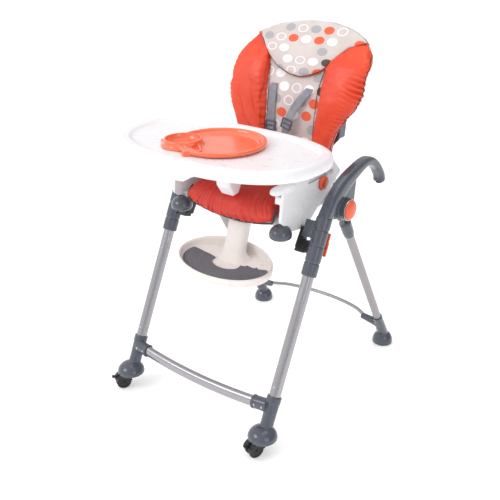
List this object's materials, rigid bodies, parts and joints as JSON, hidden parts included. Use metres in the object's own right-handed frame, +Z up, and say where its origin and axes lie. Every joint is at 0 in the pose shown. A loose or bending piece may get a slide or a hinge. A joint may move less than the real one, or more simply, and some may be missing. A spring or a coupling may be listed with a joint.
{
  "type": "baby high chair",
  "caption": "Folding A-frame baby high chair with a padded reclining seat, sliding feeding tray with a dish, footrest, height sleeves and caster feet.",
  "frame": {"origin": "on the floor, under the middle of the chair's bounding box", "axes": "+Z up; the child faces -Y; +X is towards the child's left-hand side, which the picture shows nearest the camera"},
  "size_m": [0.604, 0.7872, 1.048],
  "materials": {
    "grey_plastic": "gloss",
    "black_plastic": "satin",
    "white_plastic": "gloss",
    "cream_plastic": "gloss",
    "orange_plastic": "gloss",
    "leg_aluminium": "satin",
    "pin_steel": "satin",
    "leatherette": "satin",
    "dotted_cloth": "matte",
    "webbing": "matte",
    "mat_rubber": "matte"
  },
  "bodies": {
    "front_frame": {"front_leg_right": "leg_aluminium", "front_leg_left": "leg_aluminium", "front_foot_right": "grey_plastic", "front_foot_left": "grey_plastic", "arm_housing_right": "grey_plastic", "arm_housing_left": "grey_plastic", "hub_pin_right": "pin_steel", "hub_pin_left": "pin_steel", "front_crossbar": "leg_aluminium"},
    "rear_frame": {"rear_leg_right": "leg_aluminium", "rear_leg_left": "leg_aluminium", "rear_socket_right": "grey_plastic", "rear_socket_left": "grey_plastic", "rear_foot_right": "grey_plastic", "rear_foot_left": "grey_plastic", "rear_crossbar": "leg_aluminium"},
    "fold_button_right": {"fold_button_right": "orange_plastic"},
    "fold_button_left": {"fold_button_left": "orange_plastic"},
    "seat": {"height_sleeve_right": "grey_plastic", "height_sleeve_left": "grey_plastic", "seat_bracket_right": "black_plastic", "seat_bracket_left": "black_plastic", "seat_bumper_right": "grey_plastic", "seat_bumper_left": "grey_plastic", "waist_strap_right": "webbing", "waist_strap_left": "webbing", "seat_shell": "white_plastic", "seat_pad": "leatherette", "harness_buckle": "grey_plastic", "crotch_strap": "webbing", "footrest_pin": "pin_steel"},
    "height_lever_right": {"height_lever_right": "orange_plastic"},
    "height_lever_left": {"height_lever_left": "orange_plastic"},
    "tray_button_right": {"tray_button_right": "orange_plastic"},
    "tray_button_left": {"tray_button_left": "orange_plastic"},
    "backrest": {"back_shell": "grey_plastic", "back_pad": "leatherette", "headrest_pad": "dotted_cloth", "shoulder_strap_right": "webbing", "shoulder_strap_left": "webbing", "strap_adjuster_right": "grey_plastic", "strap_adjuster_left": "grey_plastic"},
    "recline_handle": {"recline_handle": "grey_plastic"},
    "tray": {"tray": "white_plastic", "tray_arm_right": "white_plastic", "tray_arm_left": "white_plastic", "crotch_post": "white_plastic"},
    "dish": {"dish": "orange_plastic"},
    "footrest": {"footrest_stem": "cream_plastic", "footrest_tray": "cream_plastic", "footrest_mat": "mat_rubber"},
    "caster_right": {"caster_fork_right": "black_plastic"},
    "wheels_right": {"caster_wheel_inner_right": "black_plastic", "caster_wheel_outer_right": "black_plastic"},
    "brake_right": {"brake_lever_right": "black_plastic"},
    "caster_left": {"caster_fork_left": "black_plastic"},
    "wheels_left": {"caster_wheel_inner_left": "black_plastic", "caster_wheel_outer_left": "black_plastic"},
    "brake_left": {"brake_lever_left": "black_plastic"}
  },
  "joints": [
    {"name": "rear_fold", "type": "hinge", "parent": "front_frame", "child": "rear_frame", "pos_m": [0, 0.0128, 0.605], "axis": [-1, 0, 0], "range_deg": [0, 48]},
    {"name": "fold_button_right_press", "type": "slide", "parent": "front_frame", "child": "fold_button_right", "axis": [-1, 0, 0], "range_m": [0, 0.004], "stiffness_N_per_m": 900},
    {"name": "fold_button_left_press", "type": "slide", "parent": "front_frame", "child": "fold_button_left", "axis": [1, 0, 0], "range_m": [0, 0.004], "stiffness_N_per_m": 900},
    {"name": "caster_right_swivel", "type": "hinge", "parent": "front_frame", "child": "caster_right", "pos_m": [0.253, -0.3337, 0.055], "axis": [0, 0, 1], "continuous": true},
    {"name": "caster_right_roll", "type": "hinge", "parent": "caster_right", "child": "wheels_right", "pos_m": [0.24377, -0.35907, 0.022], "axis": [0.9397, -0.342, 0], "continuous": true},
    {"name": "brake_right_press", "type": "hinge", "parent": "caster_right", "child": "brake_right", "pos_m": [0.23983, -0.36988, 0.036], "axis": [0.9397, -0.342, 0], "range_deg": [0, 12]},
    {"name": "caster_left_swivel", "type": "hinge", "parent": "front_frame", "child": "caster_left", "pos_m": [-0.253, -0.3337, 0.055], "axis": [0, 0, 1], "continuous": true},
    {"name": "caster_left_roll", "type": "hinge", "parent": "caster_left", "child": "wheels_left", "pos_m": [-0.2665, -0.35708, 0.022], "axis": [0.866, -0.5, 0], "continuous": true},
    {"name": "brake_left_press", "type": "hinge", "parent": "caster_left", "child": "brake_left", "pos_m": [-0.27225, -0.36704, 0.036], "axis": [0.866, -0.5, 0], "range_deg": [0, 12]},
    {"name": "seat_height", "type": "slide", "parent": "front_frame", "child": "seat", "axis": [0, 0.4327, 0.9015], "range_m": [-0.24, 0]},
    {"name": "height_lever_right_squeeze", "type": "hinge", "parent": "seat", "child": "height_lever_right", "pos_m": [0.253, -0.0613, 0.54], "axis": [-1, 0, 0], "range_deg": [0, 5], "stiffness_Nm_per_rad": 2},
    {"name": "tray_button_right_press", "type": "slide", "parent": "seat", "child": "tray_button_right", "axis": [-1, 0, 0], "range_m": [0, 0.003], "stiffness_N_per_m": 800},
    {"name": "height_lever_left_squeeze", "type": "hinge", "parent": "seat", "child": "height_lever_left", "pos_m": [-0.253, -0.0613, 0.54], "axis": [-1, 0, 0], "range_deg": [0, 5], "stiffness_Nm_per_rad": 2},
    {"name": "tray_button_left_press", "type": "slide", "parent": "seat", "child": "tray_button_left", "axis": [1, 0, 0], "range_m": [0, 0.003], "stiffness_N_per_m": 800},
    {"name": "backrest_recline", "type": "hinge", "parent": "seat", "child": "backrest", "pos_m": [0, 0.1448, 0.612], "axis": [-1, 0, 0], "range_deg": [0, 30]},
    {"name": "recline_handle_lift", "type": "slide", "parent": "backrest", "child": "recline_handle", "axis": [0, 0, 1], "range_m": [0, 0.008], "stiffness_N_per_m": 600},
    {"name": "tray_slide", "type": "slide", "parent": "seat", "child": "tray", "axis": [0, -1, 0], "range_m": [0, 0.08]},
    {"name": "dish_lift", "type": "slide", "parent": "tray", "child": "dish", "axis": [0, 0, 1], "range_m": [0, 0.1]},
    {"name": "footrest_swing", "type": "hinge", "parent": "seat", "child": "footrest", "pos_m": [0, -0.0992, 0.572], "axis": [-1, 0, 0], "range_deg": [0, 25]}
  ]
}
